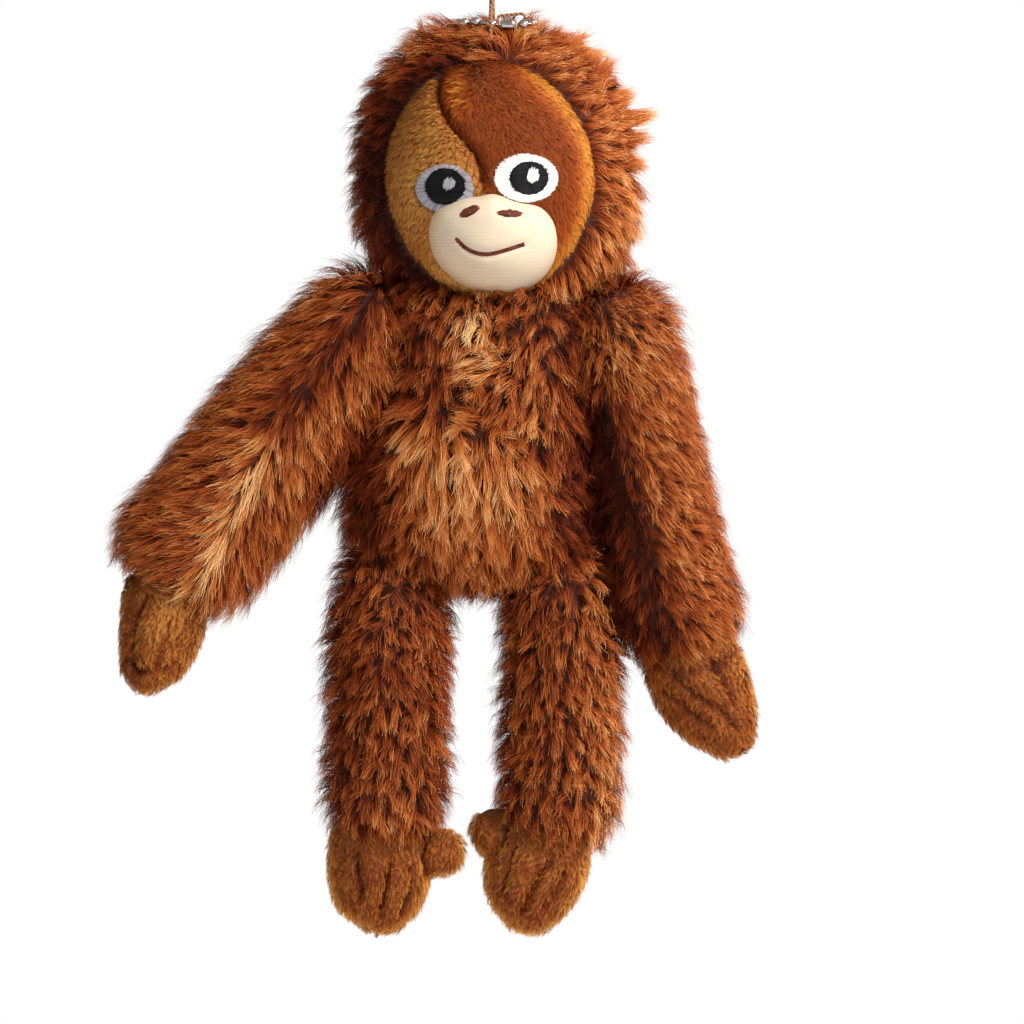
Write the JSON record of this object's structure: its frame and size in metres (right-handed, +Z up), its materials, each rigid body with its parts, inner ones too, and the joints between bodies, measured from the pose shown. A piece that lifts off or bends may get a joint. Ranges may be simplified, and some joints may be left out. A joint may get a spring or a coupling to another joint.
{
  "type": "stuffed monkey",
  "caption": "Hanging plush orangutan with long-pile body and limbs, short-pile face, hands and feet, jointed at neck, shoulders, wrists, hips and ankles.",
  "frame": {"origin": "top of the cord loop that the toy hangs from", "axes": "+Z up, -Y the way the face looks, so the toy's own right side is on -X"},
  "size_m": [0.154, 0.0573, 0.2313],
  "materials": {
    "long_fur": "long combed pile, glossy fibres",
    "face_rust": "short dense pile",
    "face_ochre": "short dense pile, nap the other way",
    "short_pile": "short dense pile",
    "muzzle_knit": "fine ribbed knit",
    "white_thread": "satin stitch",
    "black_thread": "satin stitch",
    "brown_thread": "chain stitch",
    "stuffing": "polyester wadding",
    "brown_cord": "braided cord and ribbon",
    "nickel": "nickel-plated steel"
  },
  "bodies": {
    "head": {"hood_left": "long_fur", "hood_right": "long_fur", "face_left": "face_rust", "face_right": "face_ochre", "head_stuffing": "stuffing", "muzzle_patch": "muzzle_knit", "eye_white_right": "white_thread", "eye_iris_right": "black_thread", "eye_glint_right": "white_thread", "nostril_right": "brown_thread", "eye_white_left": "white_thread", "eye_iris_left": "black_thread", "eye_glint_left": "white_thread", "nostril_left": "brown_thread", "mouth_stitching": "brown_thread", "hang_cord": "brown_cord", "hang_tab": "brown_cord"},
    "key_chain": {"ball_chain": "nickel", "chain_connector": "nickel"},
    "torso": {"torso_front_right": "long_fur", "torso_front_left": "long_fur", "torso_back": "long_fur", "torso_stuffing": "stuffing"},
    "right_arm": {"arm_right_outer": "long_fur", "arm_right_inner": "long_fur", "arm_right_stuffing": "stuffing"},
    "right_hand": {"hand_right_palm": "short_pile", "hand_right_back": "short_pile", "hand_right_stuffing": "stuffing"},
    "right_leg": {"leg_right_back": "long_fur", "leg_right_front": "long_fur", "leg_right_stuffing": "stuffing"},
    "right_foot": {"foot_right_sole": "short_pile", "foot_right_top": "short_pile", "foot_right_stuffing": "stuffing"},
    "left_arm": {"arm_left_outer": "long_fur", "arm_left_inner": "long_fur", "arm_left_stuffing": "stuffing"},
    "left_hand": {"hand_left_palm": "short_pile", "hand_left_back": "short_pile", "hand_left_stuffing": "stuffing"},
    "left_leg": {"leg_left_back": "long_fur", "leg_left_front": "long_fur", "leg_left_stuffing": "stuffing"},
    "left_foot": {"foot_left_sole": "short_pile", "foot_left_top": "short_pile", "foot_left_stuffing": "stuffing"}
  },
  "joints": [
    {"name": "neck_turn", "type": "hinge", "parent": "head", "child": "torso", "pos_m": [-0.0017, 0.005, -0.0775], "axis": [0, 0, 1], "range_deg": [-40, 40], "stiffness_Nm_per_rad": 0.004},
    {"name": "chain_swing", "type": "hinge", "parent": "head", "child": "key_chain", "pos_m": [0, 0, -0.013], "axis": [1, 0, 0], "range_deg": [0, 60]},
    {"name": "right_shoulder_swing", "type": "hinge", "parent": "torso", "child": "right_arm", "pos_m": [-0.0288, 0.004, -0.0871], "axis": [-1, 0, 0], "range_deg": [-45, 95], "stiffness_Nm_per_rad": 0.0015},
    {"name": "right_wrist_flap", "type": "hinge", "parent": "right_arm", "child": "right_hand", "pos_m": [-0.07894, 0.004, -0.1488], "axis": [-0.9903, 0, 0.1392], "range_deg": [-35, 35], "stiffness_Nm_per_rad": 0.0004},
    {"name": "right_hip_swing", "type": "hinge", "parent": "torso", "child": "right_leg", "pos_m": [-0.0233, 0.004, -0.147], "axis": [-1, 0, 0], "range_deg": [-30, 90], "stiffness_Nm_per_rad": 0.0015},
    {"name": "right_ankle_flap", "type": "hinge", "parent": "right_leg", "child": "right_foot", "pos_m": [-0.02501, 0.004, -0.20828], "axis": [-0.9986, 0, 0.0523], "range_deg": [-25, 30], "stiffness_Nm_per_rad": 0.0004},
    {"name": "left_shoulder_swing", "type": "hinge", "parent": "torso", "child": "left_arm", "pos_m": [0.0319, 0.004, -0.0864], "axis": [-1, 0, 0], "range_deg": [-45, 95], "stiffness_Nm_per_rad": 0.0015},
    {"name": "left_wrist_flap", "type": "hinge", "parent": "left_arm", "child": "left_hand", "pos_m": [0.04806, 0.004, -0.16373], "axis": [-0.9397, 0, -0.342], "range_deg": [-35, 35], "stiffness_Nm_per_rad": 0.0004},
    {"name": "left_hip_swing", "type": "hinge", "parent": "torso", "child": "left_leg", "pos_m": [0.0144, 0.004, -0.147], "axis": [-1, 0, 0], "range_deg": [-30, 90], "stiffness_Nm_per_rad": 0.0015},
    {"name": "left_ankle_flap", "type": "hinge", "parent": "left_leg", "child": "left_foot", "pos_m": [0.01387, 0.004, -0.2083], "axis": [-0.9816, 0, 0.1908], "range_deg": [-25, 30], "stiffness_Nm_per_rad": 0.0004}
  ]
}
